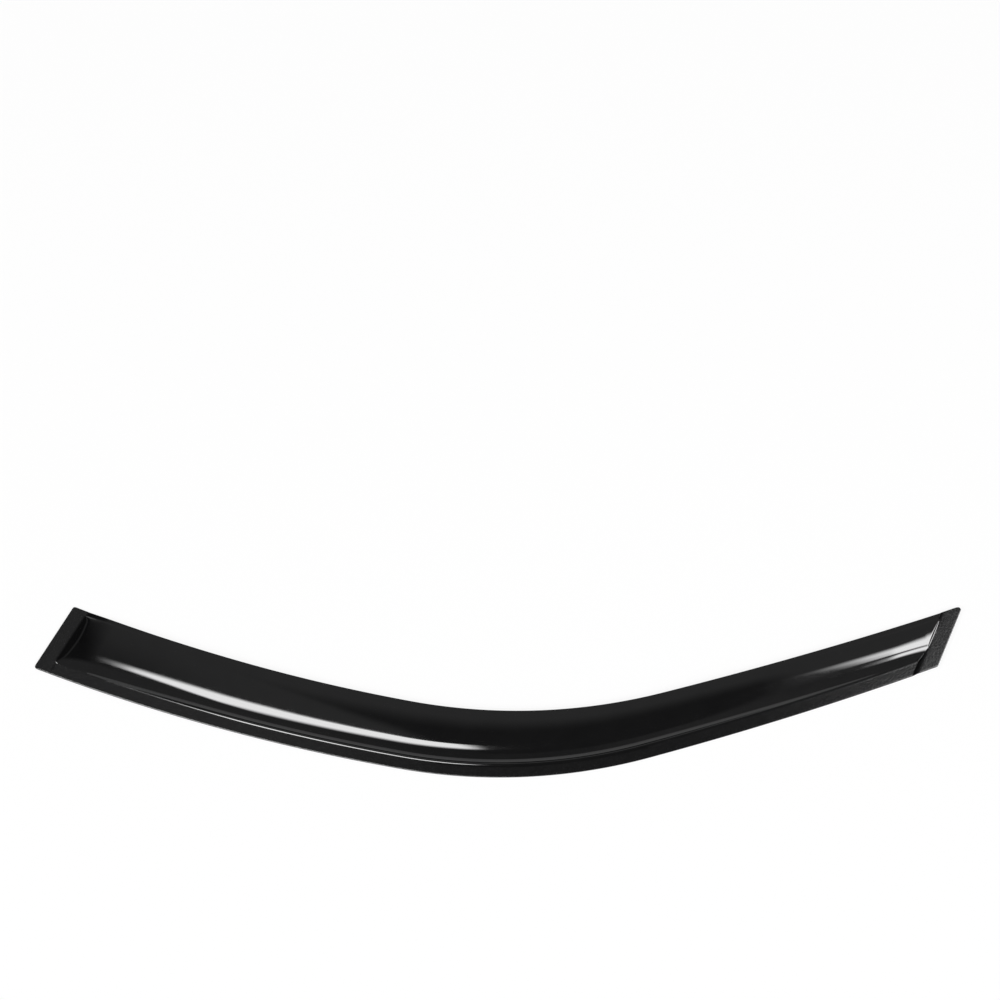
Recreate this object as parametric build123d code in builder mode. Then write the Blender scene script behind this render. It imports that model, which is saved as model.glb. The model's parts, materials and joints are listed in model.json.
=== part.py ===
from build123d import *
import math
import os

# Rain deflector for the side window of a car, moulded as one sheet of dark smoke acrylic.
# It lies on the back of its bonding flange: X runs from the rear end to the front end,
# Y from the flange to the free edge, Z up. Sizes are in mm, angles in degrees.

# Sheet
sheet = 2.5

# Outer edge of the flange from above: three tangent arcs, from the rear end to the front end
flange_heading = -20.9
flange_rear_radius = 2140
flange_rear_length = 401.5
flange_bow_radius = 598
flange_bow_length = 265
flange_front_radius = 3970
flange_front_length = 319.5

# Free edge from above: three arcs from the far end of the rear tab. They follow the flange, and the
# taper angles between the two edges at each joint narrow the hood towards the front
rear_end_length = 77.6
rear_taper_angle = 0.9
middle_taper_angle = 0.4
front_taper_angle = 0.85
lip_bow_lead = 28
lip_bow_gain = 1
lip_front_flattening = 380

# Both runs are drawn past the ends of the sheet, which is trimmed to its outline last
overrun = 60
trim_margin = 8
stations_per_arc = 4

# Section across the run: flange, foot, wall, shoulder, crown and stepped strip at the free edge
flange_width = 12
foot_radius = 3
wall_angle = 57
wall_length = 1
shoulder_radius = 22.5
crown_rise_angle = 6
crown_fall_angle = 10
bend_radius = 5.5
step_angle = 25
step_length = 0.6
hollow_radius = 3
strip_angle = 8
strip_width = 3.5

# Towards both ends the wall leans back, which lowers the hood there
rear_lean_angle = 22
rear_lean_length = 200
front_lean_angle = 14
front_lean_length = 330
lean_power = 2.5

# Ends: a tab across each end, a joggle from it down to the flange, and an end wall up to a ridge, from
# where the hood still rises to the crown on a long arc
rear_end_angle = 58.9
front_end_angle = 66.3
tab_width = 16
rear_tab_raise = 0.5
front_tab_raise = 4.2
rear_joggle_angle = 10
front_joggle_angle = 55
joggle_radius = 3.5
end_foot_radius = 2
rear_wall_angle = 55
front_wall_angle = 40
rear_wall_length = 2.6
front_wall_length = 0.8
ridge_radius = 3
rear_fall_angle = 20
front_fall_angle = 20
rear_fall_radius = 90
front_fall_radius = 110
rest_angle = 3
corner_radius = 3

# Tool bodies reach past the sheet on every side
tool_depth = 10
tool_height = 40
tool_reach = 1300
back_trim = 1


def sine(angle):
    return math.sin(math.radians(angle))


def cosine(angle):
    return math.cos(math.radians(angle))


def heading(angle):
    return Vector(cosine(angle), sine(angle))


def turn(length, radius):
    return math.degrees(length / radius)


# Width of the bend, step, hollow and strip before the free edge
lip_width = (
    bend_radius * (sine(step_angle) - sine(crown_fall_angle))
    + step_length * cosine(step_angle)
    + hollow_radius * (sine(step_angle) - sine(strip_angle))
    + strip_width * cosine(strip_angle)
)

# Arcs of the free edge, from those of the flange
lip_rear_length = flange_rear_length - lip_bow_lead
lip_rear_turn = turn(flange_rear_length, flange_rear_radius) + rear_taper_angle - middle_taper_angle
lip_rear_radius = lip_rear_length / math.radians(lip_rear_turn)
lip_bow_length = flange_bow_length + lip_bow_gain
lip_bow_turn = turn(flange_bow_length, flange_bow_radius) + middle_taper_angle - front_taper_angle
lip_bow_radius = lip_bow_length / math.radians(lip_bow_turn)
lip_front_length = flange_front_length + 2 * overrun
lip_front_radius = flange_front_radius + lip_front_flattening

with BuildLine() as flange_edge:
    flange_rear = JernArc(
        (0, 0), heading(flange_heading), flange_rear_radius, turn(flange_rear_length, flange_rear_radius)
    )
    flange_bow = JernArc(
        flange_rear @ 1, flange_rear % 1, flange_bow_radius, turn(flange_bow_length, flange_bow_radius)
    )
    flange_front = JernArc(
        flange_bow @ 1, flange_bow % 1, flange_front_radius, turn(flange_front_length, flange_front_radius)
    )
    flange_before = JernArc(
        flange_rear @ 0, -(flange_rear % 0), flange_rear_radius, -turn(overrun, flange_rear_radius)
    )
    flange_after = JernArc(
        flange_front @ 1, flange_front % 1, flange_front_radius, turn(overrun, flange_front_radius)
    )

rear_corner = flange_rear @ 0
front_corner = flange_front @ 1

with BuildLine() as free_edge:
    lip_rear = JernArc(
        rear_corner + heading(rear_end_angle) * rear_end_length,
        heading(flange_heading - rear_taper_angle),
        lip_rear_radius,
        lip_rear_turn,
    )
    lip_bow = JernArc(lip_rear @ 1, lip_rear % 1, lip_bow_radius, lip_bow_turn)
    lip_front = JernArc(lip_bow @ 1, lip_bow % 1, lip_front_radius, turn(lip_front_length, lip_front_radius))
    lip_before = JernArc(lip_rear @ 0, -(lip_rear % 0), lip_rear_radius, -turn(2 * overrun, lip_rear_radius))


def across(point, direction):
    """Plane square to the run at a point: local X to the free edge, local Y up."""
    return Plane(point, x_dir=direction.rotate(Axis.Z, 90), z_dir=direction)


def leaning(from_end, lean_angle, lean_length):
    """Angle by which the wall leans back at a distance from an end."""
    share = min(max(1 - from_end / lean_length, 0), 1)
    return lean_angle * share**lean_power


def wall_at(travelled):
    """Angle of the wall at a distance along the flange from the rear end."""
    run_length = flange_rear_length + flange_bow_length + flange_front_length
    rear_lean = leaning(travelled, rear_lean_angle, rear_lean_length)
    front_lean = leaning(run_length - travelled, front_lean_angle, front_lean_length)
    return wall_angle - rear_lean - front_lean


# Stations along the run: a plane across it and the angle of the wall there
stations = [(across(flange_before @ 1, -(flange_before % 1)), wall_at(0))]
travelled = 0
for arc in (flange_rear, flange_bow, flange_front):
    for step in range(stations_per_arc):
        place = step / stations_per_arc
        stations.append((across(arc @ place, arc % place), wall_at(travelled + place * arc.length)))
    travelled += arc.length
stations.append((across(flange_front @ 1, flange_front % 1), wall_at(travelled)))
stations.append((across(flange_after @ 1, flange_after % 1), wall_at(travelled)))


def inward(corner, angle, side):
    """Plane square to an end: local X into the sheet from the inner edge of the tab, local Y up."""
    direction = heading(angle).rotate(Axis.Z, side)
    return Plane(corner + direction * tab_width, x_dir=direction, z_dir=direction.rotate(Axis.Z, -90))


ends = (
    {
        "plane": inward(rear_corner, rear_end_angle, -90),
        "raised": rear_tab_raise,
        "joggle angle": rear_joggle_angle,
        "wall angle": rear_wall_angle,
        "wall length": rear_wall_length,
        "fall angle": rear_fall_angle,
        "fall radius": rear_fall_radius,
    },
    {
        "plane": inward(front_corner, front_end_angle, 90),
        "raised": front_tab_raise,
        "joggle angle": front_joggle_angle,
        "wall angle": front_wall_angle,
        "wall length": front_wall_length,
        "fall angle": front_fall_angle,
        "fall radius": front_fall_radius,
    },
)


def run_section(station, angle, inset, sink):
    """Solid section under the sheet's outer face, or under its inner face when inset by the sheet.
    The wall stands at the given angle."""
    reach = IntersectingLine(station.origin, station.x_dir, free_edge.line, mode=Mode.PRIVATE)
    crown_start = (
        flange_width
        + (foot_radius + shoulder_radius) * sine(angle)
        + wall_length * cosine(angle)
        - shoulder_radius * sine(crown_rise_angle)
    )
    crown_turn = crown_rise_angle + crown_fall_angle
    crown_width = reach.length - crown_start - lip_width
    crown_radius = crown_width / (sine(crown_rise_angle) + sine(crown_fall_angle))
    level = sheet - inset - sink
    foot_start = flange_width - sink * cosine(angle) / sine(angle)
    with BuildSketch(station) as section:
        with BuildLine():
            flange = Line((-trim_margin - inset, level), (foot_start, level))
            foot = JernArc(flange @ 1, flange % 1, foot_radius + inset, angle)
            wall = PolarLine(foot @ 1, wall_length + sink / sine(angle), direction=foot % 1)
            shoulder = JernArc(wall @ 1, wall % 1, shoulder_radius - inset, crown_rise_angle - angle)
            crown = JernArc(shoulder @ 1, shoulder % 1, crown_radius - inset, -crown_turn)
            bend = JernArc(crown @ 1, crown % 1, bend_radius - inset, crown_fall_angle - step_angle)
            step = PolarLine(bend @ 1, step_length, direction=bend % 1)
            hollow = JernArc(step @ 1, step % 1, hollow_radius + inset, step_angle - strip_angle)
            strip = PolarLine(hollow @ 1, strip_width + trim_margin + inset, direction=hollow % 1)
            floor = -tool_depth - inset
            Polyline(strip @ 1, ((strip @ 1).X, floor), ((flange @ 0).X, floor), flange @ 0)
        make_face()
    return section.sketch


def end_ground(end, inset):
    """Section that limits the height towards an end: level tab, foot, wall, ridge and fall of the crown."""
    level = end["raised"] + sheet - inset
    floor = -2 * tool_depth
    ridge_turn = end["fall angle"] - end["wall angle"]
    fall_turn = rest_angle - end["fall angle"]
    with BuildSketch(end["plane"]) as ground:
        with BuildLine():
            tab = Line((-tool_reach, level), (0, level))
            foot = JernArc(tab @ 1, tab % 1, end_foot_radius + inset, end["wall angle"])
            wall = PolarLine(foot @ 1, end["wall length"], direction=foot % 1)
            ridge = JernArc(wall @ 1, wall % 1, ridge_radius - inset, ridge_turn)
            fall = JernArc(ridge @ 1, ridge % 1, end["fall radius"] - inset, fall_turn)
            rest = PolarLine(fall @ 1, tool_reach, direction=fall % 1)
            Polyline(rest @ 1, ((rest @ 1).X, floor), (-tool_reach, floor), tab @ 0)
        make_face()
    return ground.sketch


def tab_block(end, inset):
    """Section that carries the raised tab over the flange and steps down to it."""
    level = end["raised"] + sheet - inset
    joggle_length = (tool_depth + level) / sine(end["joggle angle"])
    with BuildSketch(end["plane"]) as block:
        with BuildLine():
            tab = Line((-tool_height, level), (0, level))
            fold = JernArc(tab @ 1, tab % 1, joggle_radius - inset, -end["joggle angle"])
            joggle = PolarLine(fold @ 1, joggle_length, direction=fold % 1)
            Polyline(joggle @ 1, ((tab @ 0).X, (joggle @ 1).Y), tab @ 0)
        make_face()
    return block.sketch


def moulded_form(inset, sink):
    """Everything below the sheet's outer face, or below its inner face when inset by the sheet.
    A sunk form leaves the back of the flange proud, to be trimmed flat."""
    with BuildPart() as form:
        loft([run_section(station, angle, inset, sink) for station, angle in stations])
        for end in ends:
            extrude(end_ground(end, inset), amount=tool_reach, both=True, mode=Mode.INTERSECT)
        for end in ends:
            extrude(tab_block(end, inset), amount=rear_end_length + tool_height, both=True)
    return form.part


with BuildSketch() as outline:
    with BuildLine():
        add(flange_edge.line)
        add(free_edge.line)
        Line(flange_before @ 1, lip_before @ 1)
        Line(flange_after @ 1, lip_front @ 1)
    make_face()
    with BuildLine():
        Polyline(
            rear_corner - heading(rear_end_angle) * flange_rear_length,
            rear_corner + heading(rear_end_angle) * flange_rear_length,
            front_corner + heading(front_end_angle) * flange_rear_length,
            front_corner - heading(front_end_angle) * flange_rear_length,
            close=True,
        )
    make_face(mode=Mode.INTERSECT)
    corners = outline.vertices().sort_by(Axis.X)
    fillet(corners[:2] + corners[-2:], corner_radius)

with BuildPart() as deflector:
    add(moulded_form(0, 0))
    add(moulded_form(sheet, back_trim), mode=Mode.SUBTRACT)
    extrude(outline.sketch, amount=tool_height, mode=Mode.INTERSECT)

# The sheet stands on the back of its flange, centred on its length and width
middle = deflector.part.bounding_box().center()
deflector.part.position -= Vector(middle.X, middle.Y)

deflector.part.label = "deflector"
os.makedirs("parts", exist_ok=True)
export_step(deflector.part, "parts/deflector.step")
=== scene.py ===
import json
import math

import bpy
import numpy as np
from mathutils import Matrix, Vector


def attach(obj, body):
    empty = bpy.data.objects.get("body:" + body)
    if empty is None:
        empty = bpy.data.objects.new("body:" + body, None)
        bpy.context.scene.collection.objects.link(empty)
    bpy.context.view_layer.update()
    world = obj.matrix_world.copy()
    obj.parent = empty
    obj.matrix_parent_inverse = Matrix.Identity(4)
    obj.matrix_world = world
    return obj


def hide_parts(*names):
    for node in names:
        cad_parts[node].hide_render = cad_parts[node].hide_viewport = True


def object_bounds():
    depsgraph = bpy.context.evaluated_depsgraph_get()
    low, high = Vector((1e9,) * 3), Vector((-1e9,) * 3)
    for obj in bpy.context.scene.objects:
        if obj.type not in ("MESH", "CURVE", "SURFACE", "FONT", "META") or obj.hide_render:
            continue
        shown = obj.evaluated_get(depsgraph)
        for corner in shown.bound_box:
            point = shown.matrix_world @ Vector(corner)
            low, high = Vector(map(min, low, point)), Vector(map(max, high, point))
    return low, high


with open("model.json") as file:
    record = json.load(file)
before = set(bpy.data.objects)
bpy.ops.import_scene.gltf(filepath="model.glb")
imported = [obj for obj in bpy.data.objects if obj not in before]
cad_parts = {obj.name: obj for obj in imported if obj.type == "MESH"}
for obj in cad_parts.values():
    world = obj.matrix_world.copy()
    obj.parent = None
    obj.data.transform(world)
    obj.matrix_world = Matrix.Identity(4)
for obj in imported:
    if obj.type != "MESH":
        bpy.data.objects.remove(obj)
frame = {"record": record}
cad_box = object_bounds()
mount_places = {mount["name"]: mount["pos_m"] for mount in frame["record"]["mounts"]}

# Sheet and outline as in the solid, in metres and degrees: each arc is a radius and a length
SHEET = 0.0025
FLANGE_HEADING = -20.9
FLANGE_ARCS = ((2.140, 0.4015), (0.598, 0.265), (3.970, 0.3195))
REAR_END_LENGTH = 0.0776
LIP_HEADING = -21.8
LIP_ARCS = ((1.9022, 0.3735), (0.6111, 0.266), (4.350, 0.4395))
REAR_END_ANGLE = 58.9
FRONT_END_ANGLE = 66.3
CORNER_RADIUS = 0.003

# Section across the run, from the flange to the free edge
FLANGE_WIDTH = 0.012
FOOT_RADIUS = 0.003
SHARPEST_FOOT = 0.00002
SHARPEST_FOOT_REACH = 0.060
FULL_FOOT_START = 0.225
WALL_ANGLE = 57.0
WALL_LENGTH = 0.001
SHOULDER_RADIUS = 0.0225
REAR_LEAN = 22.0
REAR_LEAN_REACH = 0.200
FRONT_LEAN = 18.0
FRONT_LEAN_REACH = 0.330
LEAN_POWER = 1.8
CROWN_RISE_ANGLE = 6.0
CROWN_FALL_ANGLE = 10.0
BEND_RADIUS = 0.0055
STEP_ANGLE = 25.0
STEP_LENGTH = 0.0006
HOLLOW_RADIUS = 0.003
STRIP_ANGLE = 8.0
STRIP_LENGTH = 0.0035

# Ends: the hood sinks by a share of its height to a wall beside a raised tab, and its strip by a length more
TAB_WIDTH = 0.016
REAR_END = {
    "raised": mount_places["rear_tab_back"][2],
    "joggle": 10.0,
    "foot": 0.0005,
    "wall": 29.0,
    "sink": 0.52,
    "sink_reach": 0.036,
    "sink_power": 2.0,
    "lip_sink": 0.0020,
    "lip_reach": 0.024,
    "lip_power": 1.2,
}
FRONT_END = {
    "raised": mount_places["front_tab_back"][2],
    "joggle": 55.0,
    "foot": 0.002,
    "wall": 40.0,
    "sink": 0.24,
    "sink_reach": 0.036,
    "sink_power": 2.4,
    "lip_sink": 0.0009,
    "lip_reach": 0.120,
    "lip_power": 1.0,
}
LIP_SINK_START = 0.0073
LIP_SINK_WIDTH = 0.0030
RIDGE_BLEND = 0.0010
JOGGLE_RADIUS = 0.0035

# Mesh: each end step is a distance from the tab and the spacing of the columns up to it
EDGE_ROUND = 0.0005
RIM_DEPTHS = EDGE_ROUND * np.array((0.0, 0.1, 0.3, 0.6, 1.0))
COLUMN_STEP = 0.005
TAB_COLUMNS = 7
END_STEPS = ((0.006, 0.00025), (0.030, 0.0008), (0.080, 0.0012))
RISING_ROWS = (7, 10, 4, 36)
CROWN_ROWS = 18
LIP_ROWS = (9, 2, 7, 5)
EDGE_SAMPLES = 4000
CORNER_MARGIN = 1.01
SMALLEST_LENGTH = 1e-9
GRAIN_MARGIN = 0.0001

# Camera
VIEW_ELEVATION = 75.0
VIEW_DISTANCE = 3.2144
VIEW_TARGET = Vector((0.0013, 0.2094, 0.0))
VIEW_LENS = 108.0
VIEW_SENSOR = 36.0

# Background
FLOOR_RADIUS = 9.0
FLOOR_MIDDLE_RADIUS = 2.25
COVE_RADIUS = 1.5
COVE_STEPS = 13
ROUND_STEPS = 96
WALL_HEIGHT = 1.6
FLOOR_GAP = 0.0003
FLOOR_COLOR = (0.95, 0.95, 0.95, 1.0)
SHADOW_SHARE = 0.12

# Lamps
LAMP_PLACES = {"left_lamp": (-2.5, -1.5, 4.0), "right_lamp": (2.5, -1.5, 4.0)}
LAMP_SIZE = 2.5
LAMP_POWER = 125.0

# Cards: corners go round from near left, and the soft shares are at the left, right, near and far side
CARD_STEPS = 17
CARD_STRENGTH = 19.5
CARDS = {
    "left_card": {
        "corners": ((-2.5, -4.9), (-0.08, -2.9), (-0.08, -0.32), (-1.8, 0.75)),
        "height": 5.0,
        "strength": CARD_STRENGTH,
        "soft": (0.15, 0.10, 0.45, 0.08),
    },
    "right_far_card": {
        "corners": ((1.67, -0.22), (5.5, -1.9), (5.5, 1.15), (0.92, 1.15)),
        "height": 5.0,
        "strength": CARD_STRENGTH,
        "soft": (0.10, 0.05, 0.40, 0.38),
    },
    "right_near_card": {
        "corners": ((2.63, -2.7), (5.5, -2.9), (5.5, -0.45), (1.72, -0.35)),
        "height": 5.02,
        "strength": CARD_STRENGTH,
        "soft": (0.10, 0.05, 0.50, 0.36),
    },
    "middle_flag": {
        "corners": ((-0.45, -6.0), (3.2, -6.0), (0.6, 2.7), (-0.45, 2.7)),
        "height": 5.05,
        "strength": 0.09,
        "soft": (0.1, 0.12, 0.05, 0.2),
    },
}

# World: how bright the room is by direction, from -1 at the left or near side to 1 at the right or far one
WORLD_COLOR = (1.0, 1.0, 1.0, 1.0)
WORLD_LEVEL = 0.4
FAR_LEVEL = {"start": -0.43, "end": -0.06, "low": 0.05, "high": 1.0}
GLOW_START = {"start": -0.70, "end": -0.65, "low": 0.0, "high": 0.55}
GLOW_END = {"start": -0.60, "end": -0.54, "low": 1.0, "high": 0.0}
NEAR_LEVEL = {"start": 0.1, "end": 0.45, "low": 0.4, "high": 0.7}
FAR_SHARE = {"start": -0.4, "end": 0.05, "low": 0.0, "high": 1.0}

# Looks of the sheet: a noise is its patches to a metre and its detail, and a bump is a noise and a depth
ACRYLIC_IOR = 1.49
NOISE_RANGE = (0.3, 0.7)
GLOSS_LOOK = {
    "specular": 0.5,
    "tint_noise": (45.0, 4.0),
    "dark": (0.0030, 0.0030, 0.0032, 1.0),
    "pale": (0.0042, 0.0042, 0.0044, 1.0),
    "roughness_noise": (120.0, 3.0),
    "roughness": (0.035, 0.065),
    "bumps": (((22.0, 1.0), 0.00004),),
}
GRAIN_LOOK = {
    "specular": 0.4,
    "tint_noise": (700.0, 3.0),
    "dark": (0.0042, 0.0042, 0.0044, 1.0),
    "pale": (0.0080, 0.0080, 0.0083, 1.0),
    "roughness_noise": (250.0, 3.0),
    "roughness": (0.09, 0.13),
    "bumps": (((500.0, 2.0), 0.00005), ((1500.0, 2.0), 0.00003)),
}


def sine(angle):
    return np.sin(np.radians(angle))


def cosine(angle):
    return np.cos(np.radians(angle))


def heading(angle):
    return np.array((cosine(angle), sine(angle)))


class ArcChain:
    """Tangent arcs in the plane, all bending to the left."""

    def __init__(self, start, angle, arcs):
        self.arcs = []
        travelled = 0.0
        point = np.array(start, float)
        for radius, length in arcs:
            centre = point + radius * heading(angle + 90.0)
            self.arcs.append((centre, radius, angle, travelled))
            angle += math.degrees(length / radius)
            travelled += length
            point = centre - radius * heading(angle + 90.0)
        self.length = travelled

    def angle_at(self, travelled):
        """Heading of the chain at a distance along it."""
        for centre, radius, start_angle, before in self.arcs:
            if before <= travelled:
                angle = start_angle + math.degrees((travelled - before) / radius)
        return angle

    def points(self, travelled):
        """Points at the given distances along the chain."""
        found = np.zeros((len(travelled), 2))
        for centre, radius, angle, before in self.arcs:
            here = travelled >= before
            turned = np.radians(angle - 90.0) + (travelled[here] - before) / radius
            found[here] = centre + radius * np.stack((np.cos(turned), np.sin(turned)), axis=-1)
        return found

    def project(self, points):
        """Distance along the chain of each point's foot, and its distance to the left of the chain."""
        along = np.zeros(points.shape[:-1])
        left = np.zeros(points.shape[:-1])
        for centre, radius, angle, before in self.arcs:
            offset = points - centre
            back = heading(angle - 90.0)
            turned = np.arctan2(back[0] * offset[..., 1] - back[1] * offset[..., 0], offset @ back)
            here = turned >= 0.0 if before else np.full(along.shape, True)
            along[here] = before + radius * turned[here]
            left[here] = radius - np.linalg.norm(offset[here], axis=-1)
        return along, left


def rise(run, angle, radius):
    """Height gained over a level run on an arc that starts at a slope. A positive radius curves upwards."""
    slope = np.clip(sine(angle) + run / radius, -1.0, 1.0)
    return radius * (cosine(angle) - np.sqrt(1.0 - slope**2))


def arc_piece(radius, start_angle, end_angle):
    """Piece of a section: its width and the height gained over part of that width."""
    width = radius * (sine(end_angle) - sine(start_angle))
    return width, lambda run: rise(run, start_angle, radius)


def line_piece(width, angle):
    return width, lambda run: run * np.tan(np.radians(angle))


def follow(distance, level, pieces):
    """Height of a section made of pieces, at the given distances from its start."""
    height = np.full(distance.shape, level)
    start = 0.0
    for width, gain in pieces:
        height = height + gain(np.clip(distance - start, 0.0, width))
        start = start + width
    return height


def widths_of(pieces):
    return [width for width, gain in pieces]


def rising_pieces(inset, wall_angle, foot_radius):
    """Flange, foot, wall and shoulder. A sharper foot leaves the flange and the wall in their planes."""
    sharper = (FOOT_RADIUS - foot_radius) * np.tan(np.radians(wall_angle / 2.0))
    return (
        line_piece(FLANGE_WIDTH + sharper, 0.0),
        arc_piece(foot_radius + inset, 0.0, wall_angle),
        line_piece((WALL_LENGTH + sharper) * cosine(wall_angle), wall_angle),
        arc_piece(inset - SHOULDER_RADIUS, wall_angle, CROWN_RISE_ANGLE),
    )


def lip_pieces(inset):
    """Bend, step and hollow before the strip at the free edge."""
    return (
        arc_piece(inset - BEND_RADIUS, -CROWN_FALL_ANGLE, -STEP_ANGLE),
        line_piece(STEP_LENGTH * cosine(STEP_ANGLE), -STEP_ANGLE),
        arc_piece(HOLLOW_RADIUS + inset, -STEP_ANGLE, -STRIP_ANGLE),
    )


STRIP_WIDTH = STRIP_LENGTH * cosine(STRIP_ANGLE)
LIP_WIDTH = sum(widths_of(lip_pieces(0.0))) + STRIP_WIDTH


def run_height(across, reach, wall_angle, foot_radius, inset):
    """Height of the run at a distance across from the flange's edge. The free edge is at the given reach."""
    crown_width = reach - sum(widths_of(rising_pieces(0.0, wall_angle, foot_radius))) - LIP_WIDTH
    crown_radius = inset - crown_width / (sine(CROWN_RISE_ANGLE) + sine(CROWN_FALL_ANGLE))
    crown = arc_piece(crown_radius, CROWN_RISE_ANGLE, -CROWN_FALL_ANGLE)
    rising = rising_pieces(inset, wall_angle, foot_radius)
    pieces = rising + (crown,) + lip_pieces(inset) + (line_piece(np.inf, -STRIP_ANGLE),)
    return follow(across, SHEET - inset, pieces)


def left_of(inward, reach, power):
    """Share that is left at a distance inward of something that fades out at its reach."""
    return np.clip(1.0 - inward / reach, 0.0, 1.0) ** power


def smooth_step(share):
    """Share from 0 to 1, made level at both ends."""
    return share**2 * (3.0 - 2.0 * share)


def sunk_height(run, to_edge, inward, end, inset):
    """Height of the run where it sinks towards an end, the strip at the free edge a little more."""
    level = SHEET - inset
    lip_share = np.clip((LIP_SINK_START - to_edge) / LIP_SINK_WIDTH, 0.0, 1.0)
    lip = end["lip_sink"] * left_of(inward, end["lip_reach"], end["lip_power"]) * smooth_step(lip_share)
    sink = end["sink"] * left_of(inward, end["sink_reach"], end["sink_power"])
    return level + (run - level) * (1.0 - sink) - lip


def wall_height(inward, end, inset):
    """Height limit at a distance inward from the inner edge of a tab: foot and wall."""
    pieces = (
        arc_piece(end["foot"] + inset, 0.0, end["wall"]),
        line_piece(np.inf, end["wall"]),
    )
    return follow(inward, end["raised"] + SHEET - inset, pieces)


def tab_height(inward, end, inset):
    """Height of a raised tab and of the joggle from it down to the flange."""
    pieces = (
        arc_piece(inset - JOGGLE_RADIUS, 0.0, -end["joggle"]),
        line_piece(np.inf, -end["joggle"]),
    )
    return follow(inward, end["raised"] + SHEET - inset, pieces)


def blend_lower(first, second, blend):
    """The lower of two heights, rounded where they cross."""
    overlap = np.maximum(blend - np.abs(first - second), 0.0)
    return np.minimum(first, second) - overlap**2 / (4.0 * blend)


def end_height(run, to_edge, inward, end, inset):
    """Height of the sheet on the half of the run that belongs to an end."""
    sunk = sunk_height(run, to_edge, inward, end, inset)
    hood = blend_lower(sunk, wall_height(inward, end, inset), RIDGE_BLEND)
    beside_hood = np.maximum(tab_height(inward, end, inset), SHEET - inset)
    on_tab = end["raised"] + SHEET - inset
    return np.where(inward < 0.0, on_tab, np.maximum(hood, beside_hood))


flange_edge = ArcChain((0.0, 0.0), FLANGE_HEADING, FLANGE_ARCS)
free_edge = ArcChain(REAR_END_LENGTH * heading(REAR_END_ANGLE), LIP_HEADING, LIP_ARCS)
rear_corner = np.zeros(2)
front_corner = flange_edge.points(np.array([flange_edge.length]))[0]
rear_inward = heading(REAR_END_ANGLE - 90.0)
front_inward = heading(FRONT_END_ANGLE + 90.0)


def end_distances(points):
    """Distances of points inward from the rear end and from the front end."""
    return (points - rear_corner) @ rear_inward, (points - front_corner) @ front_inward


# The free edge as seen from the flange's edge, and the distance along it where the front end cuts it
free_places = np.linspace(0.0, free_edge.length, EDGE_SAMPLES)
free_points = free_edge.points(free_places)
free_along, free_left = flange_edge.project(free_points)
free_from_front = end_distances(free_points)[1]
free_end = np.interp(0.0, free_from_front[::-1], free_places[::-1])


def reach_at(along):
    """Distance across from the flange's edge to the free edge."""
    return np.interp(along, free_along, free_left)


def wall_angle_at(along):
    """Angle of the wall at a distance along the run: it leans back towards both ends."""
    rear = left_of(along, REAR_LEAN_REACH, LEAN_POWER)
    front = left_of(flange_edge.length - along, FRONT_LEAN_REACH, LEAN_POWER)
    return WALL_ANGLE - REAR_LEAN * rear - FRONT_LEAN * front


def foot_radius_at(along):
    """Radius of the foot at a distance along the run: it shrinks to a crease towards the rear end."""
    share = np.interp(along, (SHARPEST_FOOT_REACH, FULL_FOOT_START), (0.0, 1.0))
    return np.maximum(FOOT_RADIUS * share**2, SHARPEST_FOOT)


def end_columns():
    """Distances inward from an end for the columns of the mesh that run along it."""
    columns = [RIM_DEPTHS, np.linspace(2.0 * EDGE_ROUND, TAB_WIDTH, TAB_COLUMNS, endpoint=False)]
    start = 0.0
    for reach, step in END_STEPS:
        columns.append(TAB_WIDTH + np.arange(start, reach, step))
        start = reach
    return np.concatenate(columns)


def column_places(edge, length):
    """Distances along an edge where the columns of the mesh meet it."""
    places = np.linspace(0.0, length, EDGE_SAMPLES)
    from_rear, from_front = end_distances(edge.points(places))
    rear = np.interp(end_columns(), from_rear, places)
    front = np.interp(end_columns(), from_front[::-1], places[::-1])[::-1]
    count = round(flange_edge.length / COLUMN_STEP)
    middle = np.linspace(rear[-1], front[0], count)[1:-1]
    return np.concatenate((rear, middle, front))


def split_pieces(start, widths, counts):
    """Places of the rows on pieces that follow each other from a start."""
    bounds = np.cumsum([start] + widths)
    rows = []
    for low, high, count in zip(bounds, bounds[1:], counts):
        rows.append(np.linspace(low, high, count, endpoint=False))
    return rows


def section_rows(reach, wall_angle, foot_radius):
    """Distances across the run for the rows of the mesh, where the free edge is at the given reach."""
    rising_widths = widths_of(rising_pieces(0.0, wall_angle, foot_radius))
    lip_widths = widths_of(lip_pieces(0.0)) + [STRIP_WIDTH]
    lip_start = reach - LIP_WIDTH
    rising = split_pieces(0.0, rising_widths, RISING_ROWS)
    rising[0] = np.concatenate((RIM_DEPTHS, rising[0][1:]))
    crown = np.linspace(sum(rising_widths), lip_start, CROWN_ROWS, endpoint=False)
    lip = split_pieces(lip_start, lip_widths, LIP_ROWS)
    return np.concatenate((*rising, crown, *lip, reach - RIM_DEPTHS[::-1]))


def round_corner(points, depth, corner, first_inward, second_inward):
    """Moves the points near a corner of the outline in to an arc, and sets their depth from it."""
    half = math.acos(np.dot(first_inward, second_inward)) / 2.0
    middle = (first_inward + second_inward) / np.linalg.norm(first_inward + second_inward)
    corner_distance = CORNER_RADIUS / math.cos(half)
    centre = corner + middle * corner_distance
    offset = points - centre
    away = np.linalg.norm(offset, axis=-1)
    direction = offset / np.maximum(away, SMALLEST_LENGTH)[..., None]
    near = (direction @ -middle > math.cos(half)) & (away < corner_distance * CORNER_MARGIN)
    shrink = np.maximum(direction @ -first_inward, direction @ -second_inward)
    points[near] = centre + offset[near] * shrink[near][:, None]
    depth[near] = CORNER_RADIUS - (away * shrink)[near]


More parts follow.
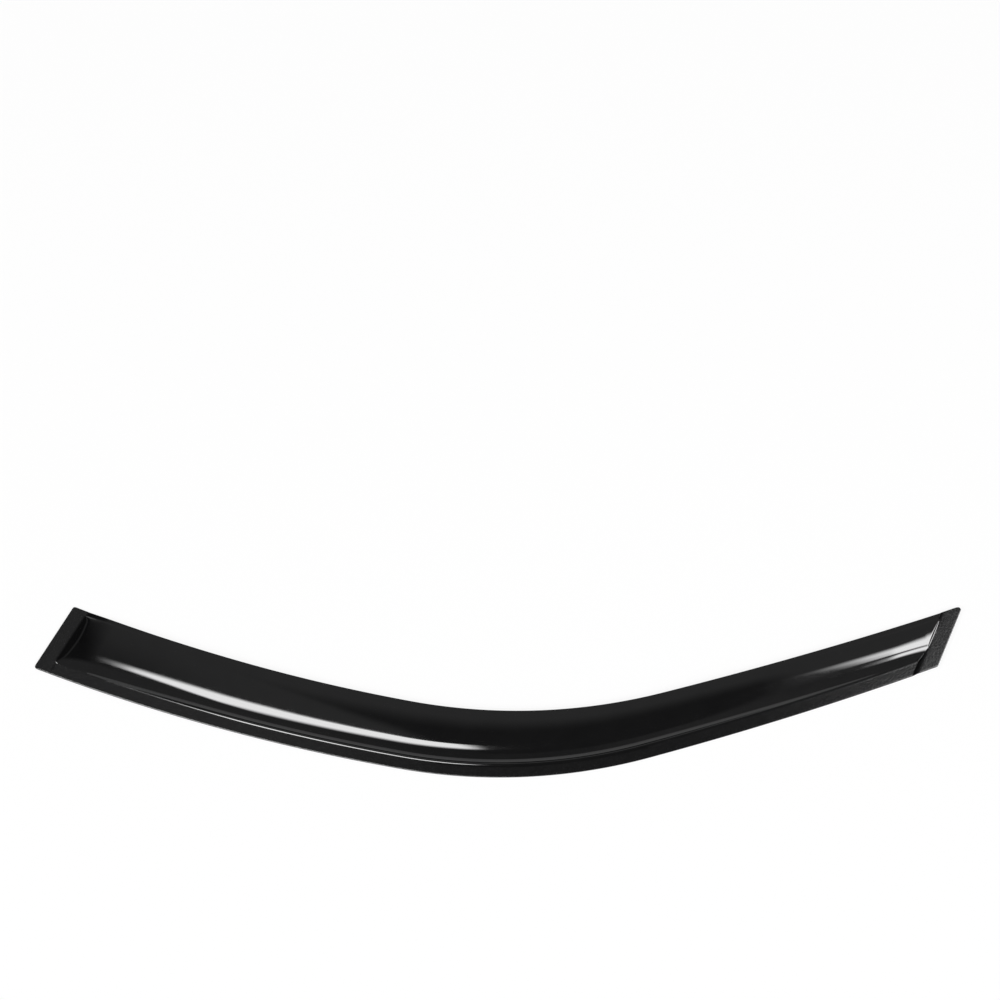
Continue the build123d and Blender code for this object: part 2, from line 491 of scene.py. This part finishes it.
def flat_grid():
    """Grid of points in the plane with the outline's corners rounded, and their depth from the outline."""
    near_places = column_places(flange_edge, flange_edge.length)
    near_edge = flange_edge.points(near_places)
    far_edge = free_edge.points(column_places(free_edge, free_end))
    far_reach = flange_edge.project(far_edge)[1]
    sections = zip(far_reach, wall_angle_at(near_places), foot_radius_at(near_places))
    share = np.array([section_rows(*section) / section[0] for section in sections])
    points = near_edge[:, None] + share[..., None] * (far_edge - near_edge)[:, None]

    along, across = flange_edge.project(points)
    depth = np.minimum.reduce((across, reach_at(along) - across, *end_distances(points)))
    depth = np.maximum(depth, 0.0)
    flange_end_angle = flange_edge.angle_at(flange_edge.length)
    free_end_angle = free_edge.angle_at(free_end)
    round_corner(points, depth, rear_corner, heading(FLANGE_HEADING + 90.0), rear_inward)
    round_corner(points, depth, far_edge[0], heading(LIP_HEADING - 90.0), rear_inward)
    round_corner(points, depth, front_corner, heading(flange_end_angle + 90.0), front_inward)
    round_corner(points, depth, far_edge[-1], heading(free_end_angle - 90.0), front_inward)
    return points, depth


def edge_drop(depth):
    """Drop of a face where the edge of the sheet is rounded, at a depth inward from the outline."""
    short = np.clip(EDGE_ROUND - depth, 0.0, EDGE_ROUND)
    return EDGE_ROUND - np.sqrt(EDGE_ROUND**2 - short**2)


def sheet_faces(columns, rows):
    """Faces of the upper grid, of the lower grid after it, and of the rim between them."""
    index = np.arange(columns * rows).reshape(columns, rows)
    corners = (index[:-1, :-1], index[1:, :-1], index[1:, 1:], index[:-1, 1:])
    upper = np.stack(corners, axis=-1).reshape(-1, 4)
    lower = upper[:, ::-1] + index.size
    loop = np.concatenate((index[:, 0], index[-1, 1:], index[-2::-1, -1], index[0, -2:0:-1]))
    following = np.roll(loop, -1)
    rim = np.stack((loop, loop + index.size, following + index.size, following), axis=-1)
    return np.concatenate((upper, lower, rim))


def add_mesh(name, vertices, faces):
    mesh = bpy.data.meshes.new(name)
    mesh.from_pydata(vertices, [], faces)
    mesh.update()
    added = bpy.data.objects.new(name, mesh)
    bpy.context.scene.collection.objects.link(added)
    return added


def build_deflector():
    """The sheet as two faces over one grid: columns from the flange to the free edge, rows along the run."""
    points, depth = flat_grid()
    along, across = flange_edge.project(points)
    reach = reach_at(along)
    from_rear, from_front = end_distances(points)
    inward = np.minimum(from_rear, from_front) - TAB_WIDTH
    wall_angle = wall_angle_at(along)
    foot_radius = foot_radius_at(along)
    faces = []
    for inset in (0.0, SHEET):
        run = run_height(across, reach, wall_angle, foot_radius, inset)
        rear = end_height(run, reach - across, inward, REAR_END, inset)
        front = end_height(run, reach - across, inward, FRONT_END, inset)
        faces.append(np.where(from_rear < from_front, rear, front))
    top = faces[0] - edge_drop(depth)
    bottom = faces[1] + edge_drop(depth)

    grids = [np.concatenate((points, face[..., None]), axis=-1) for face in (top, bottom)]
    vertices = np.concatenate(grids).reshape(-1, 3)
    middle = (vertices.min(0) + vertices.max(0)) / 2.0
    cad_middle = (cad_box[0] + cad_box[1]) / 2.0
    vertices[:, :2] += np.array(cad_middle[:2]) - middle[:2]
    piece = add_mesh("deflector_sheet", vertices.tolist(), sheet_faces(*along.shape).tolist())
    piece.data.shade_smooth()

    flange_reach = widths_of(rising_pieces(0.0, wall_angle, foot_radius))[0]
    grain = (across <= flange_reach + GRAIN_MARGIN) | (inward <= GRAIN_MARGIN)
    grain_vertex = np.tile(grain.ravel(), 2)
    for face in piece.data.polygons:
        face.material_index = int(grain_vertex[list(face.vertices)].all())
    return piece


def add_camera():
    """Camera above the table, level along X, as the photograph is taken."""
    back = Vector((0.0, -cosine(VIEW_ELEVATION), sine(VIEW_ELEVATION)))
    data = bpy.data.cameras.new("camera")
    data.lens = VIEW_LENS
    data.sensor_width = VIEW_SENSOR
    camera = bpy.data.objects.new("camera", data)
    camera.location = VIEW_TARGET + VIEW_DISTANCE * back
    camera.rotation_euler = (math.radians(90.0 - VIEW_ELEVATION), 0.0, 0.0)
    bpy.context.scene.collection.objects.link(camera)
    bpy.context.scene.camera = camera


def new_material(name):
    material = bpy.data.materials.new(name)
    material.use_nodes = True
    return material, material.node_tree.nodes, material.node_tree.links


def add_math(nodes, links, operation, *values):
    """Result of an operation on values that are numbers or sockets."""
    node = nodes.new("ShaderNodeMath")
    node.operation = operation
    for socket, value in zip(node.inputs, values):
        if isinstance(value, float):
            socket.default_value = value
        else:
            links.new(value, socket)
    return node.outputs["Value"]


def add_range(nodes, links, interpolation, value, start, end, low, high):
    """Change from low to high while a value goes from start to end."""
    node = nodes.new("ShaderNodeMapRange")
    node.interpolation_type = interpolation
    node.inputs["From Min"].default_value = start
    node.inputs["From Max"].default_value = end
    node.inputs["To Min"].default_value = low
    node.inputs["To Max"].default_value = high
    links.new(value, node.inputs["Value"])
    return node.outputs["Result"]


def mix_to_surface(nodes, links, share, first, second):
    """Surface that goes from the first shader to the second with a share."""
    mix = nodes.new("ShaderNodeMixShader")
    links.new(share, mix.inputs["Fac"])
    links.new(first, mix.inputs[1])
    links.new(second, mix.inputs[2])
    links.new(mix.outputs["Shader"], nodes["Material Output"].inputs["Surface"])


def background_material():
    """White to the camera and in reflections, with part of it left to the lamps for the shadow."""
    material, nodes, links = new_material("white_background")
    shader = nodes["Principled BSDF"]
    shader.inputs["Base Color"].default_value = FLOOR_COLOR
    shader.inputs["Roughness"].default_value = 1.0
    shader.inputs["Specular IOR Level"].default_value = 0.0
    white = nodes.new("ShaderNodeEmission")
    path = nodes.new("ShaderNodeLightPath")
    seen = add_math(nodes, links, "ADD", path.outputs["Is Camera Ray"], path.outputs["Is Glossy Ray"])
    seen = add_math(nodes, links, "ADD", seen, path.outputs["Is Transmission Ray"])
    share = add_math(nodes, links, "MULTIPLY", seen, 1.0 - SHADOW_SHARE)
    mix_to_surface(nodes, links, share, shader.outputs["BSDF"], white.outputs["Emission"])
    return material


def add_background():
    """Round floor that curves up into a wall on all sides."""
    bend = np.radians(np.linspace(0.0, 90.0, COVE_STEPS))
    cove_radii = FLOOR_RADIUS + COVE_RADIUS * np.sin(bend)
    cove_levels = COVE_RADIUS * (1.0 - np.cos(bend))
    radii = np.concatenate(([FLOOR_MIDDLE_RADIUS], cove_radii, [FLOOR_RADIUS + COVE_RADIUS]))
    levels = np.concatenate(([0.0], cove_levels, [WALL_HEIGHT])) - FLOOR_GAP
    turns = np.linspace(0.0, 2.0 * math.pi, ROUND_STEPS, endpoint=False)
    vertices = []
    for radius, level in zip(radii, levels):
        vertices.extend((radius * math.cos(turn), radius * math.sin(turn), level) for turn in turns)
    faces = [tuple(range(ROUND_STEPS))]
    for ring in range(len(radii) - 1):
        low = ring * ROUND_STEPS
        high = low + ROUND_STEPS
        for place in range(ROUND_STEPS):
            following = (place + 1) % ROUND_STEPS
            faces.append((low + place, high + place, high + following, low + following))
    background = add_mesh("background", vertices, faces)
    background.data.shade_smooth()
    background.data.materials.append(background_material())


def card_material(name, strength, soft):
    """Glow that fades out at the card's sides: left, right, near and far."""
    material, nodes, links = new_material(name)
    nodes.remove(nodes["Principled BSDF"])
    glow = nodes.new("ShaderNodeEmission")
    glow.inputs["Strength"].default_value = strength
    place = nodes.new("ShaderNodeUVMap")
    place.uv_map = "card"
    sides = nodes.new("ShaderNodeSeparateXYZ")
    links.new(place.outputs["UV"], sides.inputs["Vector"])
    left, right, near, far = soft
    fades = (("X", 0.0, left), ("X", 1.0, 1.0 - right), ("Y", 0.0, near), ("Y", 1.0, 1.0 - far))
    share = 1.0
    for axis, start, end in fades:
        fade = add_range(nodes, links, "SMOOTHSTEP", sides.outputs[axis], start, end, 0.0, 1.0)
        share = add_math(nodes, links, "MULTIPLY", share, fade)
    clear = nodes.new("ShaderNodeBsdfTransparent")
    mix_to_surface(nodes, links, share, clear.outputs["BSDF"], glow.outputs["Emission"])
    return material


def add_card(name, corners, height, strength, soft):
    """Card over the table that only reflections show."""
    near_left, near_right, far_right, far_left = (np.array(corner) for corner in corners)
    steps = np.linspace(0.0, 1.0, CARD_STEPS)
    vertices = []
    for depth in steps:
        for side in steps:
            near = near_left + side * (near_right - near_left)
            far = far_left + side * (far_right - far_left)
            vertices.append((*(near + depth * (far - near)), height))
    faces = []
    for row in range(CARD_STEPS - 1):
        for column in range(CARD_STEPS - 1):
            low = row * CARD_STEPS + column
            high = low + CARD_STEPS
            faces.append((low, high, high + 1, low + 1))
    card = add_mesh(name, vertices, faces)
    layer = card.data.uv_layers.new(name="card")
    for loop in card.data.loops:
        row, column = divmod(loop.vertex_index, CARD_STEPS)
        layer.data[loop.index].uv = (steps[column], steps[row])
    card.data.materials.append(card_material(name, strength, soft))
    card.visible_camera = False
    card.visible_diffuse = False
    card.visible_shadow = False


def add_lamp(name, place):
    """Lamp that is aimed at the middle of the part and that reflections don't show."""
    data = bpy.data.lights.new(name, "AREA")
    data.size = LAMP_SIZE
    data.energy = LAMP_POWER
    lamp = bpy.data.objects.new(name, data)
    lamp.location = place
    lamp.rotation_euler = (-Vector(place)).to_track_quat("-Z", "Y").to_euler()
    lamp.visible_glossy = False
    bpy.context.scene.collection.objects.link(lamp)


def add_world():
    """Dim room: dark at the far left but for a faint glow, and dimmer in the middle of the near side."""
    world = bpy.data.worlds.new("world")
    world.use_nodes = True
    nodes, links = world.node_tree.nodes, world.node_tree.links
    place = nodes.new("ShaderNodeTexCoord")
    sides = nodes.new("ShaderNodeSeparateXYZ")
    links.new(place.outputs["Generated"], sides.inputs["Vector"])
    sideways = sides.outputs["X"]
    from_middle = add_math(nodes, links, "ABSOLUTE", sideways)
    glow_start = add_range(nodes, links, "SMOOTHSTEP", sideways, **GLOW_START)
    glow_end = add_range(nodes, links, "SMOOTHSTEP", sideways, **GLOW_END)
    far_level = add_range(nodes, links, "SMOOTHSTEP", sideways, **FAR_LEVEL)
    far_side = add_math(nodes, links, "MULTIPLY_ADD", glow_start, glow_end, far_level)
    near_side = add_range(nodes, links, "SMOOTHSTEP", from_middle, **NEAR_LEVEL)
    far_share = add_range(nodes, links, "SMOOTHSTEP", sides.outputs["Y"], **FAR_SHARE)
    level = nodes.new("ShaderNodeMix")
    level.data_type = "FLOAT"
    links.new(far_share, level.inputs[0])
    links.new(near_side, level.inputs[2])
    links.new(far_side, level.inputs[3])
    room = add_math(nodes, links, "MULTIPLY", level.outputs[0], WORLD_LEVEL)
    links.new(room, nodes["Background"].inputs["Strength"])
    nodes["Background"].inputs["Color"].default_value = WORLD_COLOR
    bpy.context.scene.world = world


def add_noise(nodes, links, scale, detail):
    """Noise over the sheet, with the given number of patches to a metre."""
    place = nodes.new("ShaderNodeTexCoord")
    noise = nodes.new("ShaderNodeTexNoise")
    noise.inputs["Scale"].default_value = scale
    noise.inputs["Detail"].default_value = detail
    links.new(place.outputs["Object"], noise.inputs["Vector"])
    return noise.outputs["Fac"]


def mix_colors(nodes, links, noise, dark, pale):
    """Colour that goes from dark to pale with a noise."""
    ramp = nodes.new("ShaderNodeValToRGB")
    for element, place, color in zip(ramp.color_ramp.elements, NOISE_RANGE, (dark, pale)):
        element.position = place
        element.color = color
    links.new(noise, ramp.inputs["Fac"])
    return ramp.outputs["Color"]


def add_bump(nodes, links, height, depth, under):
    """Bump of the given depth in metres, over another where there is one."""
    bump = nodes.new("ShaderNodeBump")
    bump.inputs["Strength"].default_value = 1.0
    bump.inputs["Distance"].default_value = depth
    links.new(height, bump.inputs["Height"])
    if under is not None:
        links.new(under, bump.inputs["Normal"])
    return bump.outputs["Normal"]


def acrylic_material(name, look):
    """Dark acrylic with an uneven tint and gloss, and with bumps over each other."""
    material, nodes, links = new_material(name)
    shader = nodes["Principled BSDF"]
    shader.inputs["IOR"].default_value = ACRYLIC_IOR
    shader.inputs["Specular IOR Level"].default_value = look["specular"]
    tint_noise = add_noise(nodes, links, *look["tint_noise"])
    tint = mix_colors(nodes, links, tint_noise, look["dark"], look["pale"])
    links.new(tint, shader.inputs["Base Color"])
    roughness_noise = add_noise(nodes, links, *look["roughness_noise"])
    roughness = add_range(nodes, links, "LINEAR", roughness_noise, *NOISE_RANGE, *look["roughness"])
    links.new(roughness, shader.inputs["Roughness"])
    normal = None
    for noise, depth in look["bumps"]:
        normal = add_bump(nodes, links, add_noise(nodes, links, *noise), depth, normal)
    links.new(normal, shader.inputs["Normal"])
    return material


add_camera()
add_background()
for card_name, card_values in CARDS.items():
    add_card(card_name, **card_values)
for lamp_name, lamp_place in LAMP_PLACES.items():
    add_lamp(lamp_name, lamp_place)
add_world()
bpy.context.scene.view_settings.view_transform = "Standard"

# Polished hood with the faint waves of a moulded sheet, and a flange and tabs with a fine moulded grain
sheet_piece = build_deflector()
sheet_piece.data.materials.append(acrylic_material("smoke_acrylic_gloss", GLOSS_LOOK))
sheet_piece.data.materials.append(acrylic_material("smoke_acrylic_grain", GRAIN_LOOK))
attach(sheet_piece, "root")
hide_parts("deflector")
